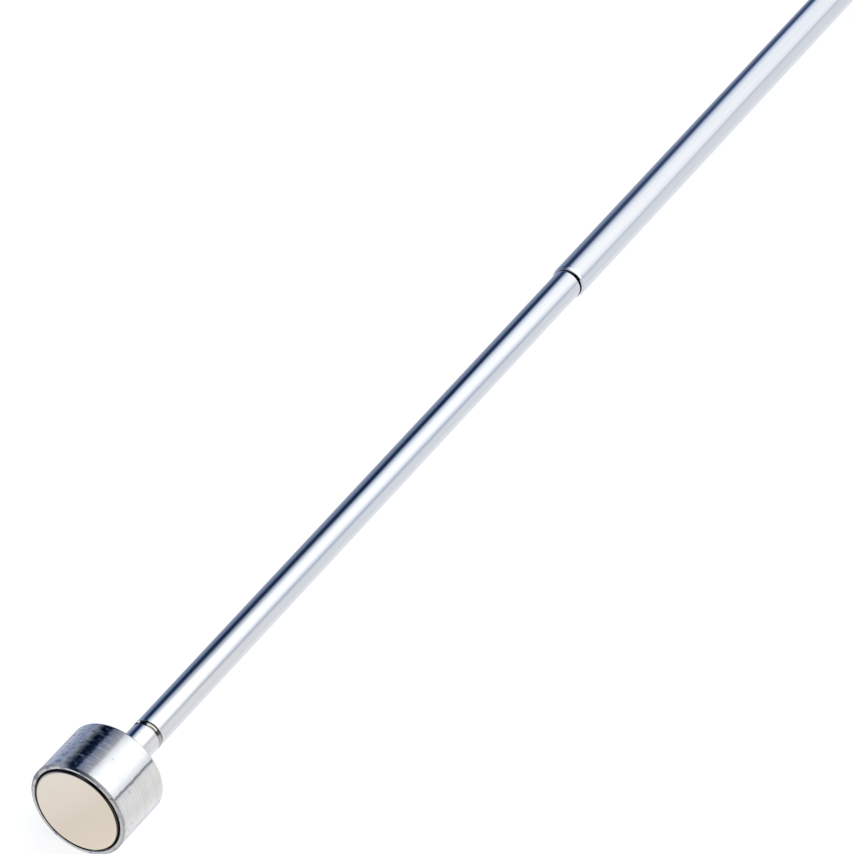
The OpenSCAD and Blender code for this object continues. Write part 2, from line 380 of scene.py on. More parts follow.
def turned_steel(name):
    """Plated steel off a lathe: fine rings round the cup, small pits and handling marks, and
    painted reflections of the grey and dark cards round the head, with painted light as a glow."""
    mat = Material(name)
    rings = mat.noise(scale=(3000, 60, 60), detail=5, rough=0.65)
    wide = mat.noise(scale=(900, 45, 45))
    blotch = mat.noise(scale=(330, 330, 330), detail=5, rough=0.62)
    pits = mat.noise(scale=(1500, 900, 900), detail=2)
    nick_and_glint = mat.noise(scale=(620, 620, 620), detail=4, rough=0.7)
    mirrored = mat.node("ShaderNodeTexCoord", {})["Reflection"]
    angle = mat.angle(mat.xyz(mirrored))

    # rings, blotches and pits over the plating's own tint; the rings' strength follows the
    # mirrored direction, a painted reflection on real turning marks
    reflected_ring_strength = mat.math("ADD", mat.remap(angle, over=(60, 88), to=(0.15, 1.0)),
                      mat.remap(angle, over=(0, -20), to=(0.0, 0.7)))
    ringed = mat.times(mat.remap(rings, over=(0.36, 0.66)), reflected_ring_strength)
    colour = mat.mix(ringed, (0.87, 0.88, 0.90), (0.76, 0.765, 0.78))
    blotched = mat.remap(blotch, over=(0.52, 0.78), to=(0.0, 0.55))
    colour = mat.mix(blotched, colour, (0.70, 0.71, 0.74))
    pitted = mat.remap(pits, over=(0.68, 0.76), to=(0.0, 0.75))
    colour = mat.mix(pitted, colour, (0.36, 0.36, 0.40))

    # the broken outer edge of the rim is duller and nicked, and its face is warmer
    pos = mat.xyz(mat.object)
    radius = mat.radius(pos)
    edge = mat.times(mat.remap(radius, over=(CUP_R - 0.00040, CUP_R - 0.00026)),
                     mat.remap(pos["X"], over=(RIM_X + 0.00055, RIM_X + 0.00040)))
    nicked = mat.remap(nick_and_glint, over=(0.35, 0.65), to=(0.45, 1.0))
    colour = mat.mix(mat.times(edge, nicked), colour, (0.34, 0.33, 0.325))
    face = mat.remap(pos["X"], over=(RIM_X + 0.00016, RIM_X + 0.00006))
    worn = mat.remap(nick_and_glint, over=(0.3, 0.7), to=(0.5, 0.9))
    colour = mat.mix(mat.times(face, worn), colour, (0.60, 0.575, 0.55))

    # painted shade in the recess round the magnet, widest on the upper near side, with a ragged
    # border
    recess_shade_mask = mat.math("SUBTRACT", radius, mat.times(recess_shade_side(mat, pos), 0.00016))
    ragged = mat.remap(nick_and_glint, over=(0.3, 0.7), to=(-0.00004, 0.00004))
    recess_shade_mask = mat.math("ADD", recess_shade_mask, ragged)
    recess_shade_mask = mat.times(mat.remap(recess_shade_mask, over=(MAGNET_R + 0.00030, MAGNET_R + 0.00024)),
                       mat.remap(pos["X"], over=(RIM_X + 0.00030, RIM_X + 0.00016)))
    colour = mat.mix(recess_shade_mask, colour, (0.020, 0.017, 0.014))

    # painted reflection detail: small dark dents, and pale flecks given off as a painted glow,
    # shown only where the painted dark card reflections fall
    dents = mat.noise(scale=(1250, 560, 560), rough=0.6)
    dented = mat.times(mat.remap(dents, over=(0.555, 0.64), to=(0.0, 0.8)),
                       mat.remap(angle, over=(-42, -58)))
    colour = mat.mix(dented, colour, (0.22, 0.24, 0.30))
    in_dark = mat.remap(angle, over=(8, -8))
    flecks = mat.noise(scale=(1700, 380, 380), rough=0.6)

    # the painted card reflections' edges break up along the turning marks, by a few degrees
    rag = mat.noise(scale=(1500, 420, 420), detail=4, rough=0.68)
    broken = mat.times(mat.remap(rag, over=(0.3, 0.7), to=(-4.6, 4.6)),
                       mat.remap(angle, over=(-6, -26)))
    angle = mat.math("ADD", angle, broken)
    angle = mat.math("ADD", angle, mat.remap(blotch, over=(0.3, 0.7), to=(-1.6, 1.6)))
    # painted reflection of the cards, multiplied into the colour, and painted light from the fill
    # table, given off as a glow
    painted_card_reflection = mat.by_angle(angle, CARD_REFLECTIONS_PAINTED, limit=120)
    painted_fill_glow = mat.by_angle(angle, FILL_GLOW_PAINTED, limit=120)
    fleck = mat.times(mat.remap(flecks, over=(0.56, 0.68)),
                      mat.times(in_dark, mat.remap(angle, over=(-70, -45), to=(0.3, 1))))
    painted_fill_glow = mat.mix(fleck, painted_fill_glow, (0.075, 0.095, 0.14), "ADD")

    rough = mat.math("ADD", mat.remap(blotch, over=(0.35, 0.8), to=(0.06, 0.17)),
                     mat.remap(wide, over=(0.3, 0.7), to=(0.0, 0.04)))
    fine = mat.bump(rings, strength=0.015, distance=0.00002)
    return mat.finish({
        "Metallic": mat.remap(edge, over=(0, 1), to=(1.0, 0.35)),
        "Specular IOR Level": 0.15,
        "Base Color": mat.mix(1.0, colour, painted_card_reflection, "MULTIPLY"),
        "Emission Color": mat.mix(1.0, colour, painted_fill_glow, "MULTIPLY"),
        "Emission Strength": 1.15,
        "Specular Tint": mat.mix(edge, (1, 1, 1), (0.45, 0.44, 0.43)),
        "Roughness": mat.math("ADD", rough, mat.times(edge, 0.45)),
        "Normal": mat.bump(blotch, strength=0.06, distance=0.00008, Normal=fine)})


def nickel_face(name):
    """Warm satin plating of the magnet disc, with faint stains and specks."""
    mat = Material(name)
    stain = mat.noise(scale=(150, 150, 150), detail=4)
    fine = mat.noise(scale=(2600, 2600, 2600))
    specks = mat.noise(scale=(1700, 1700, 1700), detail=1)
    pos = mat.xyz(mat.object)
    # 0 at the disc's upper far side, 1 at its lower near side
    low = mat.remap(mat.math("ADD", pos["Y"], pos["Z"]), over=(0.011, -0.011))
    stained = mat.remap(stain, over=(0.35, 0.7), to=(0.0, 0.6))
    colour = mat.mix(stained, (0.99, 0.875, 0.715), (0.96, 0.845, 0.69))
    colour = mat.mix(low, colour, (0.94, 0.825, 0.635))
    specked = mat.remap(specks, over=(0.74, 0.80), to=(0.0, 0.5))
    colour = mat.mix(specked, colour, (0.45, 0.38, 0.32))
    # painted shade: a black edge on the magnet's rounding, wider on the upper near side
    radius = mat.radius(pos)
    recess_shade_weight = recess_shade_side(mat, pos)
    reach = mat.math("ADD", radius, mat.times(recess_shade_weight, 0.00020))
    black = mat.remap(reach, over=(MAGNET_R - 0.00024, MAGNET_R - 0.00009))
    depth = mat.remap(recess_shade_weight, over=(0, 1), to=(0.85, 0.98))
    colour = mat.mix(mat.times(black, depth), colour, (0.05, 0.04, 0.035))
    # painted light: a faint glow across the disc along the same slope, none on the black edge
    painted_glow = mat.ramp(low, [
        (0.0, (0.055, 0.058, 0.066)), (0.3, (0.044, 0.038, 0.044)), (0.5, (0.012, 0.008, 0.013)),
        (0.65, (0.004, 0.0, 0.0)), (0.82, (0.022, 0.012, 0.014)), (1.0, (0.055, 0.034, 0.038))])
    edge_polish = mat.remap(radius, over=(MAGNET_R - 0.0006, MAGNET_R - 0.0003), to=(1.0, 0.45))
    rough = mat.remap(fine, over=(0.3, 0.7), to=(0.30, 0.40))
    return mat.finish({
        "Emission Color": mat.mix(black, painted_glow, (0, 0, 0)), "Emission Strength": 1.0,
        "Metallic": 1.0, "Base Color": colour, "Roughness": mat.times(rough, edge_polish),
        "Normal": mat.bump(fine, strength=0.12, distance=0.00002)})


def resin(name):
    """Lumpy, nearly black potting resin."""
    mat = Material(name)
    lump = mat.noise(scale=(900, 900, 900))
    return mat.finish({
        "Base Color": mat.mix(lump, (0.012, 0.011, 0.010), (0.035, 0.031, 0.027)),
        "Roughness": mat.remap(lump, over=(0.3, 0.7), to=(0.45, 0.65)),
        "Specular IOR Level": 0.25,
        "Normal": mat.bump(lump, strength=0.4, distance=0.0001)})


def neck_metal(name):
    """Bright nickel, worn to a warmer tone where the bead was rolled."""
    mat = Material(name)
    pos = mat.xyz(mat.object)
    bead = bead_front * MM

    def behind(start, end, to=(0, 1)):
        """A fade between two distances behind the bead's front, in metres."""
        return mat.remap(pos["X"], over=(bead + start, bead + end), to=to)

    on_bead = behind(-0.00025, 0.00005)
    cloud = mat.noise(scale=(380, 380, 380), detail=4)
    ring = mat.noise(scale=(4200, 90, 90))
    colour = mat.mix(on_bead, (0.93, 0.93, 0.935), (0.70, 0.61, 0.53))
    clouded = mat.remap(cloud, over=(0.42, 0.72), to=(0.0, 0.4))
    colour = mat.mix(clouded, colour, (0.72, 0.71, 0.70))
    # painted dark reflections on the bead by angle round it, then painted shade in the grooves
    # behind and before it
    angle = mat.angle(pos)
    angle = mat.math("ADD", angle, mat.remap(cloud, over=(0.3, 0.7), to=(-4.0, 4.0)))
    bead_dark_reflection = mat.by_angle(angle, BEAD_DARK_REFLECTIONS)
    colour = mat.mix(mat.times(on_bead, bead_dark_reflection), colour, (0.030, 0.028, 0.028))
    colour = mat.mix(behind(0.00072, 0.00084, to=(0, 0.9)), colour, (0.10, 0.085, 0.075))
    front_groove_shade = mat.times(behind(-0.00004, 0.00002, to=(0, 0.7)), behind(0.00012, 0.00006))
    colour = mat.mix(front_groove_shade, colour, (0.20, 0.17, 0.15))
    # one painted glint, a small bright glow in the painted dark reflection
    nick_and_glint = mat.times(mat.remap(angle, over=(-41, -37)), mat.remap(angle, over=(-25, -29)))
    nick_and_glint = mat.times(nick_and_glint, mat.times(behind(0.00020, 0.00030), behind(0.00078, 0.00068)))
    return mat.finish({
        "Emission Color": (0.95, 0.94, 0.92), "Emission Strength": nick_and_glint,
        "Metallic": 1.0, "Base Color": colour,
        "Roughness": mat.remap(cloud, over=(0.3, 0.75), to=(0.05, 0.13)),
        "Normal": mat.bump(ring, strength=0.05, distance=0.00001)})


def plated(name, tint, rough, rings):
    """Plain clouded metal with fine rings round the shaft."""
    mat = Material(name)
    ring = mat.noise(scale=(4200, 90, 90))
    cloud = mat.noise(scale=(380, 380, 380), detail=4)
    clouded = mat.remap(cloud, over=(0.35, 0.72), to=(0.0, 0.5))
    return mat.finish({
        "Metallic": 1.0, "Base Color": mat.mix(clouded, tint, tuple(v * 0.86 for v in tint)),
        "Roughness": mat.remap(cloud, over=(0.3, 0.75), to=(rough * 0.75, rough * 1.4)),
        "Normal": mat.bump(ring, strength=rings, distance=0.00002)})


def rubber(name):
    """Soft black rubber: matt grain, slightly polished and dusty where it stands proud."""
    mat = Material(name)
    grain = mat.noise(scale=(3600, 3600, 3600), detail=4, rough=0.7)
    dust = mat.noise(scale=(160, 260, 260), detail=5, rough=0.65)
    pointiness = mat.node("ShaderNodeNewGeometry", {})["Pointiness"]
    proud = mat.remap(pointiness, over=(0.49, 0.56))
    dusty = mat.remap(dust, over=(0.4, 0.75), to=(0.0, 0.45))
    colour = mat.mix(dusty, (0.018, 0.018, 0.020), (0.040, 0.040, 0.042))
    colour = mat.mix(mat.times(proud, 0.35), colour, (0.060, 0.060, 0.063))
    return mat.finish({
        "Base Color": colour,
        "Roughness": mat.remap(dust, over=(0.3, 0.75), to=(0.58, 0.78)),
        "Specular IOR Level": 0.42, "Sheen Weight": 0.08, "Sheen Roughness": 0.5,
        "Normal": mat.bump(grain, strength=0.28, distance=0.00008)})


def plastic(name, dark, light, rough):
    """Moulded plastic, clouded between two tones, with a fine grain."""
    mat = Material(name)
    grain = mat.noise(scale=(5200, 5200, 5200), rough=0.65)
    cloud = mat.noise(scale=(220, 220, 220), detail=4)
    return mat.finish({
        "Base Color": mat.mix(cloud, dark, light),
        "Roughness": mat.remap(cloud, over=(0.3, 0.7), to=(rough * 0.88, rough * 1.2)),
        "Normal": mat.bump(grain, strength=0.22, distance=0.00005)})


MATERIALS = {
    "tube": chrome("drawn_chrome_tube"),
    "collar": chrome("polished_chrome_collar", tint=(0.90, 0.90, 0.915), rough=0.05, lines=0.4),
    "cup": turned_steel("turned_plated_steel"),
    "magnet": nickel_face("satin_nickel"),
    "resin": resin("potting_resin"),
    "neck": neck_metal("bright_nickel_neck"),
    "brass": plated("turned_brass", tint=(0.83, 0.62, 0.27), rough=0.22, rings=0.35),
    "bronze": plated("rolled_bronze", tint=(0.72, 0.43, 0.22), rough=0.26, rings=0.15),
    "pin": plated("ground_pin_steel", tint=(0.60, 0.61, 0.64), rough=0.22, rings=0.3),
    "rubber": rubber("soft_grip_rubber"),
    "cap": plastic("moulded_cap_plastic", dark=(0.020, 0.020, 0.023),
                   light=(0.032, 0.032, 0.036), rough=0.42),
    "core": plastic("moulded_core_plastic", dark=(0.022, 0.022, 0.024),
                    light=(0.034, 0.034, 0.037), rough=0.5),
}

# ---------------------------------------------------------- the magnet head

CONE_RADIUS = 3.2   # wide front end of the neck's cone, which sits in the cup
CONE_LENGTH = 1.2
STEM_RADIUS = 2.0   # the neck where it passes through the cup
CUP_BORE = 2.02

# The cup: (radius, station, fillet), from the rim's inner corner outwards and back.
cup_profile = rounded([
    (bond.radius, cup.front, 0.10), (cup.radius - 0.32, cup.front, 0.06),
    (cup.radius, cup.front + 0.30, 0.08), (cup.radius, cup.rear, 0.40), (CUP_BORE, cup.rear),
    (CUP_BORE, bond.rear + CONE_LENGTH), (CONE_RADIUS, bond.rear), (bond.radius, bond.rear)], 6)
put(lathe("magnet_cup_turned", cup_profile, segments=256, longest=1.0),
    "section_1", "cup_steel", MATERIALS["cup"], "magnet_cup")

magnet_profile = rounded([
    (0, magnet.front), (magnet.radius, magnet.front, 0.55),
    (magnet.radius, magnet.rear, 0.2), (0, magnet.rear)], 6)
put(lathe("magnet_disc", magnet_profile, segments=256, longest=1.2),
    "section_1", "magnet_nickel", MATERIALS["magnet"], "magnet")

# The resin ring between magnet and cup, its front face slightly hollow.
RESIN_DEPTH = 0.10      # how far the face lies behind the cup's resin recess
RESIN_WAVES = 2.2       # size of the noise circle round the shaft


def uneven_resin(radius, x, turn):
    """The resin ring's surface is a little uneven, as it set by hand."""
    if x < bond.front + 0.3:
        place = (math.cos(turn) * RESIN_WAVES, math.sin(turn) * RESIN_WAVES, 3.1)
        x += 0.10 * noise.noise(Vector(place))
    return radius, x


bond_profile = []
for k in range(6):
    radius = magnet.radius + (bond.radius - magnet.radius) * k / 6
    hollow = 0.10 * math.sin(math.pi * k / 6)
    bond_profile.append((radius, bond.front + RESIN_DEPTH + hollow))
bond_profile += [(bond.radius, bond.front + 0.08), (bond.radius, bond.rear - 0.02),
                 (magnet.radius, bond.rear - 0.02)]
put(lathe("magnet_bond_ring", bond_profile, segments=192, longest=1.5, shape=uneven_resin),
    "section_1", "resin", MATERIALS["resin"], "magnet_bond")

# The neck: a cone and stem inside the cup, a shank, the bead, then a spigot in tube 1.
shank = tube_1.radius - 0.02
spigot = tube_1.radius - 0.27
neck_profile = [
    (0, neck.front), (CONE_RADIUS, neck.front), (STEM_RADIUS, neck.front + CONE_LENGTH),
    (STEM_RADIUS, cup.rear), (shank + 0.16, cup.rear), (shank + 0.06, cup.rear + 0.06),
    (shank, cup.rear + 0.2), (shank, bead_front - 0.20), (shank - 0.04, bead_front - 0.09),
    (shank - 0.20, bead_front + 0.01)]
for k in range(13):
    swing = math.radians(-70 + 140 * k / 12)
    neck_profile.append((
        tube_1.radius - 0.42 + 0.44 * math.cos(swing),
        tube_1.front - BEAD_WIDTH / 2 + (BEAD_WIDTH / 2 - 0.05) * math.sin(swing)))
neck_profile += [
    (shank - 0.20, tube_1.front - 0.01), (spigot, tube_1.front + 0.02),
    (spigot, neck.rear - 0.6), (tube_1.radius - 0.8, neck.rear), (0, neck.rear)]
put(lathe("neck_pin_turned", neck_profile, segments=160, longest=2.0),
    "section_1", "neck_nickel", MATERIALS["neck"], "neck_pin")

# -------------------------------------------------------------- the tubes

WALL = 0.27
NOSE_CLEARANCE = 0.08   # between a rolled lip and the tube inside it
LIP_LENGTH = 1.3        # from a tube's front to its full radius
LIP_ROLL = 0.30         # half the depth of the lip's round front

tube_1_bore = tube_1.radius - WALL
tube_1_profile = rounded([
    (tube_1_bore, tube_1.front), (tube_1.radius, tube_1.front, 0.13),
    (tube_1.radius, tube_1.rear, 0.08), (tube_1_bore, tube_1.rear)], 6)
put(lathe("tube_1_drawn", tube_1_profile, segments=192, longest=8.0),
    "section_1", "tube_chrome", MATERIALS["tube"], "tube_1")


def nosed_tube(node, body, inner_radius, wide_at):
    """A tube whose lip is rolled in round the tube inside it; returns its radius.

    The rolled hole is a little off centre, widest at the given angle.
    """
    front, rear, radius = span(node)
    nose = inner_radius + NOSE_CLEARANCE
    roll = radius - 0.08
    profile = [(nose, front + 0.12), (nose + 0.01, front + 0.05)]
    for k in range(13):
        swing = math.radians(-84 + 78 * k / 12)
        profile.append((nose + 0.03 + (roll - nose - 0.03) * math.cos(swing),
                        front + LIP_ROLL + LIP_ROLL * math.sin(swing)))
    for k in range(1, 11):
        t = k / 10
        profile.append((roll + (radius - roll) * (1 - (1 - t) ** 2),
                        front + LIP_ROLL + (LIP_LENGTH - LIP_ROLL) * t))
    profile += [
        (radius, rear - 0.08), (radius - 0.03, rear - 0.02), (radius - 0.08, rear),
        (radius - WALL, rear), (radius - WALL, front + LIP_LENGTH + 0.45),
        (nose, front + LIP_LENGTH + 0.2)]

    def off_centre(r, x, turn):
        if x > front + LIP_LENGTH + 0.3 or r > roll + 0.001:
            return r, x
        facing = 0.5 + 0.5 * math.cos(turn - math.radians(wide_at))
        gap = 0.28 * facing ** 3.5 - 0.065
        share = (roll - r) / (roll - nose)
        return r + gap * share, x + 0.06 * share

    tube = lathe(node + "_drawn", profile, segments=192, longest=8.0, shape=off_centre, sharp=60)
    material = chrome("chrome_" + node, lip=front, lip_shade_at=wide_at)
    put(tube, body, "tube_chrome", material, node)
    return radius


body_radius = tube_1.radius
for node, body, wide_at in (
    ("tube_2", "section_2", 42), ("tube_3", "section_3", 20),
    ("tube_4", "section_4", 75), ("body_tube", "handle", 40),
):
    body_radius = nosed_tube(node, body, body_radius, wide_at)

# -------------------------------------------------------------- the collar

# A front band, a step, then an S-shaped flare out to the full radius.
band_radius = body_radius + 1.04
flare_radius = body_radius + 1.49
FLARE_START, FLARE_LENGTH, FLARE_RISE = 2.6, 6.0, 2.65
collar_profile = rounded([
    (body_radius, collar.front), (band_radius, collar.front, 0.35),
    (band_radius, collar.front + 2.2, 0.25), (flare_radius, collar.front + FLARE_START, 0.2)])
for k in range(1, 17):
    t = k / 16
    collar_profile.append((flare_radius + FLARE_RISE * (3 * t * t - 2 * t ** 3),
                           collar.front + FLARE_START + FLARE_LENGTH * t))
collar_profile += rounded([
    (collar.radius, collar.front + FLARE_START + FLARE_LENGTH),
    (collar.radius, collar.rear, 0.25), (body_radius, collar.rear)])[1:]
put(lathe("front_collar_spun", collar_profile, segments=192, longest=2.0, sharp=45),
    "handle", "collar_chrome", MATERIALS["collar"], "front_collar")

# ---------------------------------------------------------------- the grip

SWELLS = 5
PLAIN = 0.06        # share of the length left plain at each end
WAIST_DEPTH = 1.35
SWELL_HEIGHT = 1.15
FLUTES = 28
FLUTE_DEPTH = 0.42
RING_PITCH = 1.35
RING_DEPTH = 0.28
GRIP_STEPS = 300
# The rolled bead at each end: (depth below the grip's radius, distance from the end).
GRIP_BEAD = [(0.9, 0), (0.55, 0.12), (0.26, 0.36), (0.08, 0.7), (0, 1.1)]
grip_length = grip.rear - grip.front


def swell(share):
    """0 at the waists and 1 at the tops of the swells."""
    return abs(math.sin(math.pi * SWELLS * (share - PLAIN) / (1 - 2 * PLAIN)))


def grip_radius(share):
    if share < PLAIN or share > 1 - PLAIN:
        return grip.radius - 0.10
    return grip.radius - WAIST_DEPTH + SWELL_HEIGHT * swell(share) ** 0.8


def grip_relief(radius, x, turn):
    """Shallow flutes on the swells and rings at the waists."""
    share = (x - grip.front) / grip_length
    if radius >= core_radius + 0.4 and PLAIN < share < 1 - PLAIN:
        height = swell(share)
        flute = 0.5 + 0.5 * math.cos(FLUTES * turn)
        on_swell = min(1.0, max(0.0, (height - 0.42) / 0.25))
        radius -= FLUTE_DEPTH * (1 - flute ** 0.55) * on_swell
        on_waist = min(1.0, max(0.0, (0.40 - height) / 0.10))
        wave = 0.5 - 0.5 * math.cos(2 * math.pi * (x - grip.front) / RING_PITCH)
        radius -= RING_DEPTH * on_waist * wave
    return radius, x


grip_profile = [(core_radius, grip.front)]
grip_profile += [(grip.radius - depth, grip.front + inset) for depth, inset in GRIP_BEAD]
for k in range(1, GRIP_STEPS):
    share = k / GRIP_STEPS
    x = grip.front + share * grip_length
    if grip.front + 1.4 < x < grip.rear - 1.4:
        grip_profile.append((grip_radius(share), x))
grip_profile += [(grip.radius - depth, grip.rear - inset) for depth, inset in GRIP_BEAD[::-1]]
grip_profile.append((core_radius, grip.rear))
put(lathe("rubber_grip_moulded", grip_profile, segments=336, longest=12.0,
          shape=grip_relief, sharp=80),
    "handle", "grip_rubber", MATERIALS["rubber"], "rubber_grip")

# ------------------------------------------------------------- the end cap

# A hollow cup with a domed rear, from which a flat, drilled eye stands out.
DOME_WIDTH, DOME_LENGTH = 4.2, 3.6
EYE_RADIUS, EYE_THICKNESS, EYE_HOLE = 6.2, 7.0, 2.25
EYE_FILLET, HOLE_FILLET = 1.1, 0.5
SIDE_STEPS = 10
floor_x = cap.front + 9.0       # the cup's floor
eye_x = cap.rear - EYE_RADIUS   # centre of the eye
eye_root = floor_x + 1.2        # front end of the eye, inside the dome

cap_profile = [
    (0, floor_x), (core_radius, floor_x), (core_radius, cap.front),
    (cap.radius - 0.3, cap.front), (cap.radius - 0.09, cap.front + 0.09),
    (cap.radius, cap.front + 0.3), (cap.radius, floor_x)]
for k in range(1, 13):
    swing = math.radians(90 * k / 12)
    cap_profile.append((cap.radius - DOME_WIDTH + DOME_WIDTH * math.cos(swing),
                        floor_x + DOME_LENGTH * math.sin(swing)))
cap_profile.append((0, floor_x + DOME_LENGTH))
cap_body = lathe("end_cap_body", cap_profile, segments=192, longest=1.6, sharp=60)


def drill(ob, x, radius, sharp):
    """A cross hole through a turned piece, along Z."""
    bm = bmesh.new()
    bmesh.ops.create_cone(bm, cap_ends=True, segments=48, radius1=radius * MM,
                          radius2=radius * MM, depth=30 * MM,
                          matrix=Matrix.Translation((x * MM, 0, 0)))
    cutter = mesh_object("cutter", bm)
    hole = ob.modifiers.new("hole", "BOOLEAN")
    hole.operation = "DIFFERENCE"
    hole.solver = "EXACT"
    hole.object = cutter
    bpy.context.view_layer.update()
    drilled = ob.evaluated_get(bpy.context.evaluated_depsgraph_get())
    mesh = bpy.data.meshes.new_from_object(drilled)
    ob.modifiers.clear()
    ob.data = mesh
    bpy.data.objects.remove(cutter)
    bm = bmesh.new()
    bm.from_mesh(mesh)
    shade(bm, sharp)
    bm.to_mesh(mesh)
    bm.free()


pin_low, pin_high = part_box("end_cap_pin")
drill(cap_body, (pin_low.x + pin_high.x) / 2 / MM,
      (pin_high.x - pin_low.x) / 2 / MM + 0.03, sharp=40)

# The eye's outline and hole as (x, z): round at the rear, square at the root.
outline = []
for k in range(49):
    swing = math.radians(-90 + 180 * k / 48)
    outline.append((eye_x + EYE_RADIUS * math.cos(swing), EYE_RADIUS * math.sin(swing)))
for k in range(1, SIDE_STEPS + 1):
    outline.append((eye_x + (eye_root - eye_x) * k / SIDE_STEPS, EYE_RADIUS))
for k in range(1, SIDE_STEPS):
    outline.append((eye_root, EYE_RADIUS - 2 * EYE_RADIUS * k / SIDE_STEPS))
for k in range(SIDE_STEPS):
    outline.append((eye_root + (eye_x - eye_root) * k / SIDE_STEPS, -EYE_RADIUS))
hole = []
for x, z in outline:
    swing = math.atan2(z, x - eye_x)
    hole.append((eye_x + EYE_HOLE * math.cos(swing), EYE_HOLE * math.sin(swing)))
outline_centres = [max(eye_root + 3.0, min(eye_x, x)) for x, z in outline]
hole_centres = [eye_x] * len(hole)


def eye_ring(bm, points, centres, y, inset):
    """A ring of vertices, each moved by the inset towards its centre on the axis."""
    ring = []
    for (x, z), centre in zip(points, centres):
        outward = Vector((x - centre, z)).normalized()
        place = ((x - outward.x * inset) * MM, y * MM, (z - outward.y * inset) * MM)
        ring.append(bm.verts.new(place))
    return ring


bm = bmesh.new()
rings = []
# Four filleted edges: (points, centres, side in Y, fillet, steps, first and last angle).
# The hole's fillets are negative, as they widen it.
for points, centres, side, fillet, steps, first, last in (
    (outline, outline_centres, -1, EYE_FILLET, 6, 0, 90),
    (outline, outline_centres, 1, EYE_FILLET, 6, 90, 0),
    (hole, hole_centres, 1, -HOLE_FILLET, 4, 0, 90),
    (hole, hole_centres, -1, -HOLE_FILLET, 4, 90, 0),
):
    for k in range(steps + 1):
        swing = math.radians(first + (last - first) * k / steps)
        y = side * (EYE_THICKNESS / 2 - abs(fillet) * (1 - math.cos(swing)))
        rings.append(eye_ring(bm, points, centres, y, fillet * (1 - math.sin(swing))))
for ring, following in zip(rings, rings[1:] + rings[:1]):
    bridge(bm, ring, following)
bmesh.ops.recalc_face_normals(bm, faces=bm.faces)
shade(bm, 50)
eye = mesh_object("end_cap_eye", bm)
put(cap_body, "handle", "cap_plastic", MATERIALS["cap"], "end_cap")
put(eye, "handle", "cap_plastic", MATERIALS["cap"])

# ---------------------------------------- CAD nodes that keep their shape

for node, material in (
    [("body_plug", "brass"), ("grip_core", "core"), ("end_cap_pin", "pin")]
    + [(f"end_plug_{n}", "brass") for n in (1, 2, 3, 4)]
    + [(f"friction_sleeve_{n}", "bronze") for n in (1, 2, 3, 4)]
):
    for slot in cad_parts[node].material_slots:
        slot.material = MATERIALS[material]

# ------------------------------------------------------------------- floor

floor_z = min(corner[2] for corner in cad_box)
bpy.ops.mesh.primitive_plane_add(size=12, location=(0.25, 0, floor_z))
floor = bpy.context.object
floor.name = "pale_floor"
floor_material = bpy.data.materials.new("pale_floor")
floor_material.use_nodes = True
tree = floor_material.node_tree
tree.nodes.remove(tree.nodes["Principled BSDF"])
nodes = Nodes(tree)
matt = nodes.node("ShaderNodeBsdfDiffuse", {"Color": (0.42, 0.42, 0.42)})[0]
lit = nodes.node("ShaderNodeEmission", {"Color": (1, 0.992, 0.98), "Strength": 0.80})[0]
both = nodes.node("ShaderNodeAddShader", {0: matt, 1: lit})[0]
nodes.feed(tree.nodes["Material Output"].inputs["Surface"], both)
floor.data.materials.append(floor_material)
floor.visible_glossy = False

# ------------------------------------------------------------------- world

# A softbox overhead, a dim blue-grey wall on the far side, a pale floor below, and the thin
# dark line where the near softbox ends: (angle, then sRGB red, green and blue out of 255).
LIGHT = [
    (-180, 214, 217, 223), (-148, 218, 220, 226), (-120, 165, 170, 186), (-105, 138, 145, 165),
    (-89, 122, 132, 153), (-76, 114, 126, 149), (-64, 84, 99, 126), (-55, 40, 56, 85),
    (-46, 12, 27, 56), (-37, 20, 35, 63), (-31, 60, 74, 98), (-25, 122, 136, 158),
    (-18, 184, 195, 212), (-8, 214, 220, 231), (4, 243, 247, 249), (20, 252, 253, 253),
    (40, 252, 252, 252), (48, 238, 242, 248), (57, 222, 228, 237), (65, 198, 206, 217),
    (71, 178, 185, 196), (75.75, 170, 177, 188), (80, 178, 184, 195), (86, 195, 200, 209),
    (95, 205, 209, 215), (130, 207, 209, 213), (165, 219, 221, 225), (180, 214, 217, 223)]
LIGHT_STRENGTH = 1.16
FAR_STRIP, NEAR_EDGE = -46.0, 75.75     # angles of those two dark lines in the table

# The two lines aren't parallel to the shaft: (lean, angle). A direction's lean is its X part.
FAR_DRIFT = [
    (0.5, -46), (0.56, -52), (0.59, -60), (0.614, -60), (0.625, -57), (0.640, -52),
    (0.652, -48.5), (0.6645, -47.5), (0.6813, -51.5), (0.705, -57), (0.7195, -63),
    (0.7347, -75), (0.747, -78), (0.8, -60)]
NEAR_DRIFT = [
    (0.5, 80), (0.588, 80), (0.600, 76), (0.612, 68), (0.640, 71), (0.663, 74), (0.685, 79),
    (0.700, 83), (0.709, 81), (0.718, 77), (0.727, 73), (0.740, 72), (0.8, 78)]
# Weights and tints by lean: (lean, value).
TOP_FADE = [(0.5, 1.0), (0.68, 1.0), (0.70, (0.92, 0.91, 0.91)), (0.72, (0.865, 0.86, 0.88)),
            (0.735, (0.82, 0.83, 0.86)), (0.8, (0.82, 0.83, 0.86))]
HEAD_LIFT = [(0.5, 1.0), (0.590, 1.0), (0.604, 1.0), (0.618, 0.0), (0.63, 0.0), (0.8, 0.0)]
SOFT_EDGE = [(0.5, 0.0), (0.68, 0.0), (0.69, 0.0), (0.70, 0.72), (0.712, 0.85), (0.73, 1.0),
             (0.8, 1.0)]
SLOW_TOP = [(0.5, 0.0), (0.604, 0.0), (0.6085, 0.0), (0.6115, 0.9), (0.614, 1.0),
            (0.620, 0.95), (0.628, 0.62), (0.640, 0.5), (0.655, 0.3), (0.67, 0.12),
            (0.69, 0.0), (0.8, 0.0)]
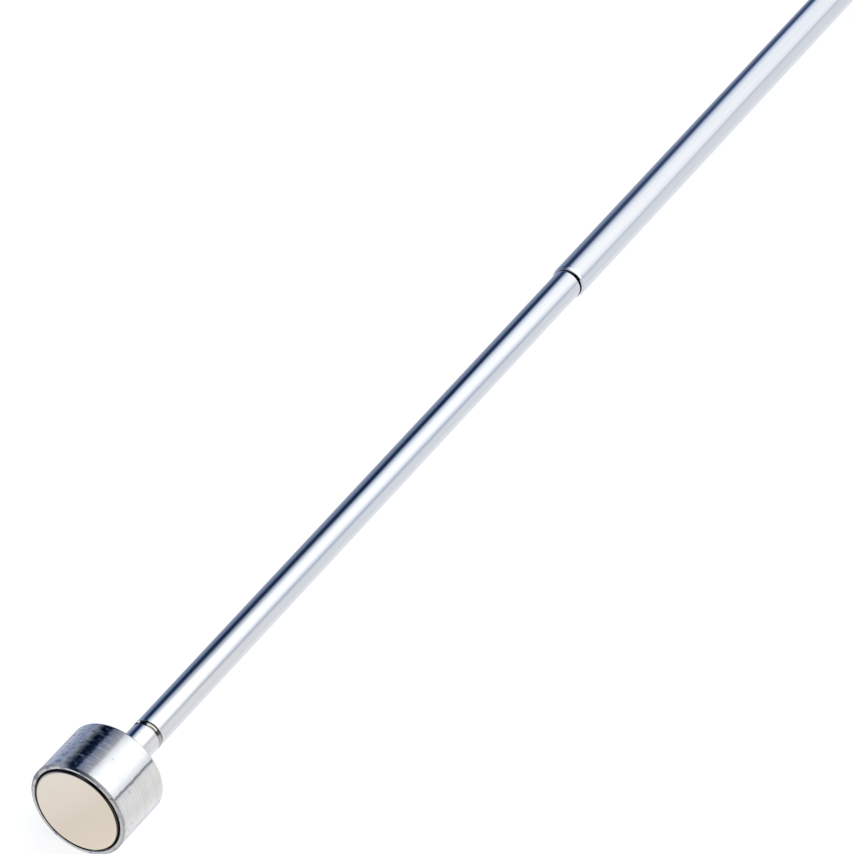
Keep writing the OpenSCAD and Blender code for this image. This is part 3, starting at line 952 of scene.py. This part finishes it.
WHITER = [(0.5, 0.0), (0.600, 0.0), (0.605, 0.3), (0.609, 0.85), (0.613, 1.0), (0.619, 0.7),
          (0.628, 0.15), (0.64, 0.0), (0.8, 0.0)]
HAZE = [(0.5, 0.0), (0.68, 0.0), (0.69, 0.1), (0.70, 0.45), (0.72, 0.8), (0.735, 1.0),
        (0.8, 1.0)]

world = bpy.data.worlds.new("studio")
bpy.context.scene.world = world
world.use_nodes = True
world.node_tree.nodes.clear()
nodes = Nodes(world.node_tree)
direction = nodes.node("ShaderNodeTexCoord", {})["Generated"]
parts = nodes.xyz(direction)
angle = nodes.angle(parts)


def linear(level):
    level /= 255
    return level / 12.92 if level <= 0.04045 else ((level + 0.055) / 1.055) ** 2.4


def step(value, start, end):
    return nodes.remap(value, over=(start, end), kind="SMOOTHSTEP")


def band(value, rise, fall):
    """1 between the two spans, easing up over the first and down over the second."""
    return nodes.times(step(value, *rise), nodes.math("SUBTRACT", 1.0, step(value, *fall)))


def along(stops):
    """A value that changes with a direction's lean along the shaft, from 0.5 to 0.8."""
    stops = [((lean - 0.5) / 0.3, value) for lean, value in stops]
    return nodes.ramp(nodes.remap(parts["X"], over=(0.5, 0.8)), stops, "B_SPLINE")


def drift(rest, stops, scale):
    """Rest angle less the drifted one. The scale keeps the ramp's values in 0 to 1."""
    drifted = along([(lean, degrees / scale) for lean, degrees in stops])
    return nodes.math("SUBTRACT", rest, nodes.times(drifted, scale))


def gain(light, weight, amount):
    """The light times 1 + weight * amount, per colour."""
    factor = nodes.vector("MULTIPLY_ADD", {0: amount, 1: weight, 2: (1, 1, 1)})[0]
    return nodes.vector("MULTIPLY", {0: light, 1: factor})[0]


bent = nodes.math("MULTIPLY_ADD", drift(FAR_STRIP, FAR_DRIFT, -100.0),
                  band(angle, rise=(-130, -85), fall=(-15, 15)), angle)
bent = nodes.math("MULTIPLY_ADD", drift(NEAR_EDGE, NEAR_DRIFT, 100.0),
                  band(angle, rise=(15, 50), fall=(110, 150)), bent)
light = nodes.ramp(nodes.math("MULTIPLY_ADD", bent, 1 / 360, 0.5), [
    (degrees / 360 + 0.5, tuple(linear(level) for level in rgb)) for degrees, *rgb in LIGHT])

# the top light fades with lean, and the near softbox's edge is softer there
top = band(angle, rise=(-60, -20), fall=(60, 90))
light = nodes.mix(top, light, along(TOP_FADE), "MULTIPLY")
edge = nodes.times(band(bent, rise=(40, 68), fall=(75, 94)), along(SOFT_EDGE))
light = gain(light, edge, (0.37, 0.31, 0.20))
lift = nodes.times(along(HEAD_LIFT), band(angle, rise=(-125, -100), fall=(68, 92)))
lift = nodes.math("MULTIPLY_ADD", lift, 0.36, 1.0)
light = nodes.vector("SCALE", {0: light, "Scale": lift})[0]

# close behind the head the top light sets in more slowly, and the near side is whiter
slow = nodes.times(along(SLOW_TOP), band(angle, rise=(-52, -38), fall=(-26, 4)))
light = gain(light, slow, (-0.45, -0.47, -0.50))
whiter = along(WHITER)
for value, rise, fall, amount in (
    (angle, (35, 60), (100, 135), (0.15, 0.08, 0.0)),
    (bent, (62, 73), (77, 87), (-0.16, -0.17, -0.19)),
    (angle, (35, 60), (165, 180), (0.0, -0.02, -0.07)),
):
    light = gain(light, nodes.times(whiter, band(value, rise, fall)), amount)

# blue haze over the far wall
haze = nodes.times(band(angle, rise=(-110, -85), fall=(-45, -15)), along(HAZE))
light = nodes.vector("MULTIPLY_ADD", {0: (0.034, 0.042, 0.072), 1: haze, 2: light})[0]

# the dark side of the room, behind the camera
facing = nodes.vector("DOT_PRODUCT", {0: direction, 1: tuple(TO_CAMERA)})["Value"]
dark = step(facing, math.cos(math.radians(38)), math.cos(math.radians(24)))
light = nodes.mix(dark, light, (0.006, 0.009, 0.016))

# the camera itself sees plain white
room = nodes.node("ShaderNodeBackground", {"Color": light, "Strength": LIGHT_STRENGTH})[0]
white = nodes.node("ShaderNodeBackground", {"Color": (1, 1, 1), "Strength": 1.0})[0]
is_camera = nodes.node("ShaderNodeLightPath", {})["Is Camera Ray"]
shown = nodes.node("ShaderNodeMixShader", {0: is_camera, 1: room, 2: white})[0]
nodes.node("ShaderNodeOutputWorld", {"Surface": shown})

# ------------------------------------------------------------------ camera

CAMERA_PLACE = Vector((-547.9, -391.3, 630.7))
scene = bpy.context.scene
camera = bpy.data.objects.new("camera", bpy.data.cameras.new("camera"))
scene.collection.objects.link(camera)
right = Vector((0.5071, -0.8612, 0.0)).normalized()
right = (right - TO_CAMERA * right.dot(TO_CAMERA)).normalized()
up = TO_CAMERA.cross(right)
rotation = Matrix((right, up, TO_CAMERA)).transposed().to_4x4()
camera.matrix_world = Matrix.Translation(CAMERA_PLACE * MM) @ rotation
camera.data.sensor_width = 36
camera.data.lens = 227.63466
camera.data.clip_start = 0.01
camera.data.clip_end = 50
scene.camera = camera

scene.view_settings.view_transform = "Standard"
scene.view_settings.look = "None"
scene.view_settings.exposure = 0
scene.view_settings.gamma = 1

bpy.context.view_layer.update()
